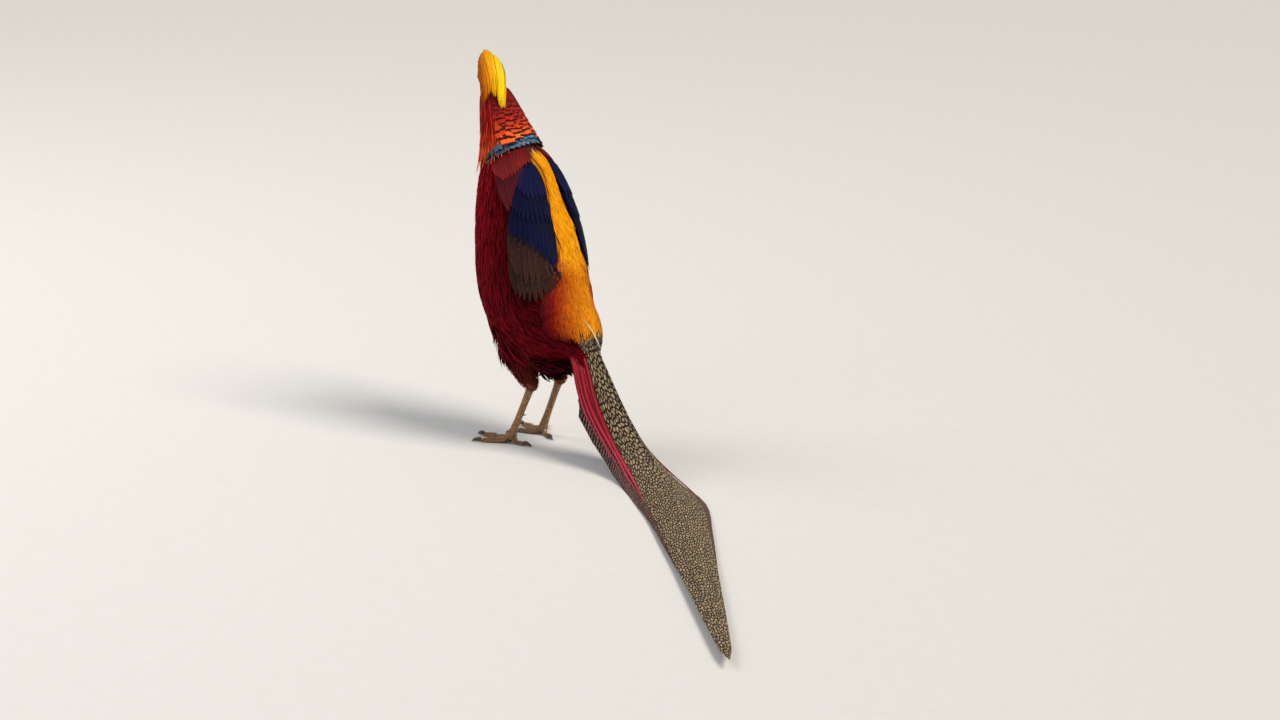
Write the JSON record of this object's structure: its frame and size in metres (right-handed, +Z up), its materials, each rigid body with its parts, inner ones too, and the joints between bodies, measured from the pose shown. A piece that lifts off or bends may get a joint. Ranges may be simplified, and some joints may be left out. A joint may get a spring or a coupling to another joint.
{
  "type": "golden pheasant",
  "caption": "Still, life-size male golden pheasant standing upright on scaly legs, with a yellow crest, barred cape and long tail laid behind.",
  "frame": {"origin": "on the floor, below the middle of the whole bird's box", "axes": "+Z up, +Y the way the body faces, +X the bird's right side; the long tail lies towards -Y"},
  "size_m": [0.3726, 0.766, 0.385],
  "materials": {
    "head_feathers": "silky golden yellow crest, rusty face",
    "cape_feathers": "orange vanes with blue-black bars",
    "body_feathers": "soft crimson feathers, golden rump",
    "wing_feathers": "glossy dark blue and brown vanes",
    "tail_feathers": "dark brown vanes with cinnamon spots and bars",
    "leg_scales": "horn yellow scales, slightly glossy",
    "claw_horn": "dark brown horn",
    "bill_horn": "pale yellowish horn",
    "eye": "wet, pale yellow iris round a black pupil"
  },
  "bodies": {
    "root": {"head": "head_feathers", "neck": "cape_feathers", "torso": "body_feathers", "wing_left": "wing_feathers", "wing_right": "wing_feathers", "tail_base": "tail_feathers", "tail_end": "tail_feathers", "thigh_left": "body_feathers", "thigh_right": "body_feathers", "shank_left": "leg_scales", "shank_right": "leg_scales", "foot_left": "leg_scales", "foot_right": "leg_scales", "claw_left_middle": "claw_horn", "claw_left_inner": "claw_horn", "claw_left_outer": "claw_horn", "claw_left_hind": "claw_horn", "claw_right_middle": "claw_horn", "claw_right_inner": "claw_horn", "claw_right_outer": "claw_horn", "claw_right_hind": "claw_horn", "bill_upper": "bill_horn", "bill_lower": "bill_horn", "eye_left": "eye", "eye_right": "eye"}
  },
  "joints": []
}
